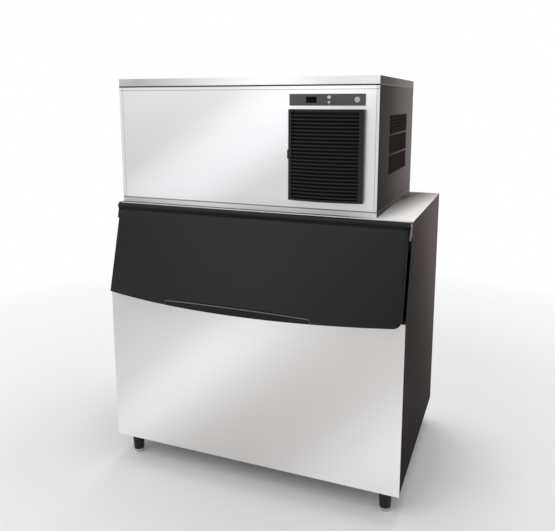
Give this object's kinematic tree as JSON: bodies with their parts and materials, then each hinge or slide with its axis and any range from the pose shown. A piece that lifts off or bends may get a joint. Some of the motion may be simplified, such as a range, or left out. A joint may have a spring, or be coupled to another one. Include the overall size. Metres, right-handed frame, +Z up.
{
  "type": "ice cube machine",
  "caption": "Modular ice cube machine: steel ice-making head with a bowed louvre on a wide insulated bin with a sloping black lift-up door, on levelling feet.",
  "frame": {"origin": "on the floor, at the middle of the footprint from the door's bow to the fittings at the rear", "axes": "+X to the machine's right as seen from its front, +Y to the rear, +Z up"},
  "size_m": [1.219, 0.949, 1.615],
  "materials": {
    "front_steel": "pale brushed sheet",
    "side_steel": "darker brushed sheet",
    "top_steel": "brushed sheet",
    "galvanised": "plain zinc sheet",
    "liner_plastic": "smooth moulded",
    "foam": "rigid foam",
    "frame_plastic": "moulded",
    "door_plastic": "fine matt grain",
    "seal_rubber": "matt",
    "bright_steel": "turned",
    "leg_plastic": "moulded",
    "control_plastic": "satin",
    "display_dark": "gloss",
    "lamp_pale": "gloss",
    "disc_pale": "satin",
    "grille_plastic": "moulded",
    "filter_plastic": "moulded",
    "coil_metal": "fins",
    "painted_black": "gloss paint",
    "copper": "drawn tube",
    "white_plastic": "moulded"
  },
  "bodies": {
    "machine": {"bin_front_panel": "front_steel", "bin_left_panel": "side_steel", "bin_right_panel": "side_steel", "bin_back_panel": "galvanised", "bin_top_panel": "top_steel", "bin_base": "galvanised", "bin_liner": "liner_plastic", "bin_insulation": "foam", "opening_frame": "frame_plastic", "drain_outlet": "white_plastic", "door_hinge_brackets": "bright_steel", "head_base_frame": "top_steel", "head_front_panel": "front_steel", "head_left_panel": "side_steel", "head_right_panel": "side_steel", "head_rear_panel": "galvanised", "head_top_cover": "top_steel", "partition_wall": "galvanised", "control_panel": "control_plastic", "display_window": "display_dark", "status_lamps": "lamp_pale", "round_disc": "disc_pale", "control_box": "galvanised", "louvre_grille": "grille_plastic", "condenser_coil": "coil_metal", "fan_shroud": "galvanised", "fan_motor": "painted_black", "fan_motor_bracket": "galvanised", "compressor": "painted_black", "compressor_grommets": "seal_rubber", "liquid_receiver": "painted_black", "filter_drier": "copper", "discharge_line": "copper", "suction_line": "copper", "evaporator": "bright_steel", "evaporator_frame": "white_plastic", "water_spreader": "white_plastic", "water_sump": "white_plastic", "ice_guide": "white_plastic", "water_pump": "painted_black", "float_stem": "white_plastic", "water_inlet_valve": "white_plastic", "power_gland": "leg_plastic", "rear_screws": "bright_steel", "legs": "leg_plastic"},
    "door": {"door_outer_shell": "door_plastic", "door_inner_panel": "liner_plastic", "door_core": "foam", "door_gasket": "seal_rubber", "door_hinge_rail": "door_plastic", "door_hinge_pins": "bright_steel"},
    "filter": {"air_filter": "filter_plastic"},
    "fan": {"fan_blades": "coil_metal"},
    "curtain": {"water_curtain": "white_plastic"},
    "float": {"float_ring": "white_plastic"},
    "foot_front_left": {"foot_front_left": "bright_steel"},
    "foot_front_right": {"foot_front_right": "bright_steel"},
    "foot_rear_left": {"foot_rear_left": "bright_steel"},
    "foot_rear_right": {"foot_rear_right": "bright_steel"}
  },
  "joints": [
    {"name": "door_hinge", "type": "hinge", "parent": "machine", "child": "door", "pos_m": [0, -0.28215, 1.0975], "axis": [-1, 0, 0], "range_deg": [0, 110]},
    {"name": "filter_slide", "type": "slide", "parent": "machine", "child": "filter", "axis": [-1, 0, 0], "range_m": [0, 0.27]},
    {"name": "fan_spin", "type": "hinge", "parent": "machine", "child": "fan", "pos_m": [0.283, -0.1775, 1.306], "axis": [0, 1, 0], "continuous": true},
    {"name": "curtain_hinge", "type": "hinge", "parent": "machine", "child": "curtain", "pos_m": [-0.2495, 0.0295, 1.545], "axis": [-1, 0, 0], "range_deg": [0, 35]},
    {"name": "float_slide", "type": "slide", "parent": "machine", "child": "float", "axis": [0, 0, 1], "range_m": [0, 0.025]},
    {"name": "front_left_level", "type": "slide", "parent": "machine", "child": "foot_front_left", "axis": [0, 0, -1], "range_m": [0, 0.025]},
    {"name": "front_right_level", "type": "slide", "parent": "machine", "child": "foot_front_right", "axis": [0, 0, -1], "range_m": [0, 0.025]},
    {"name": "rear_left_level", "type": "slide", "parent": "machine", "child": "foot_rear_left", "axis": [0, 0, -1], "range_m": [0, 0.025]},
    {"name": "rear_right_level", "type": "slide", "parent": "machine", "child": "foot_rear_right", "axis": [0, 0, -1], "range_m": [0, 0.025]}
  ]
}
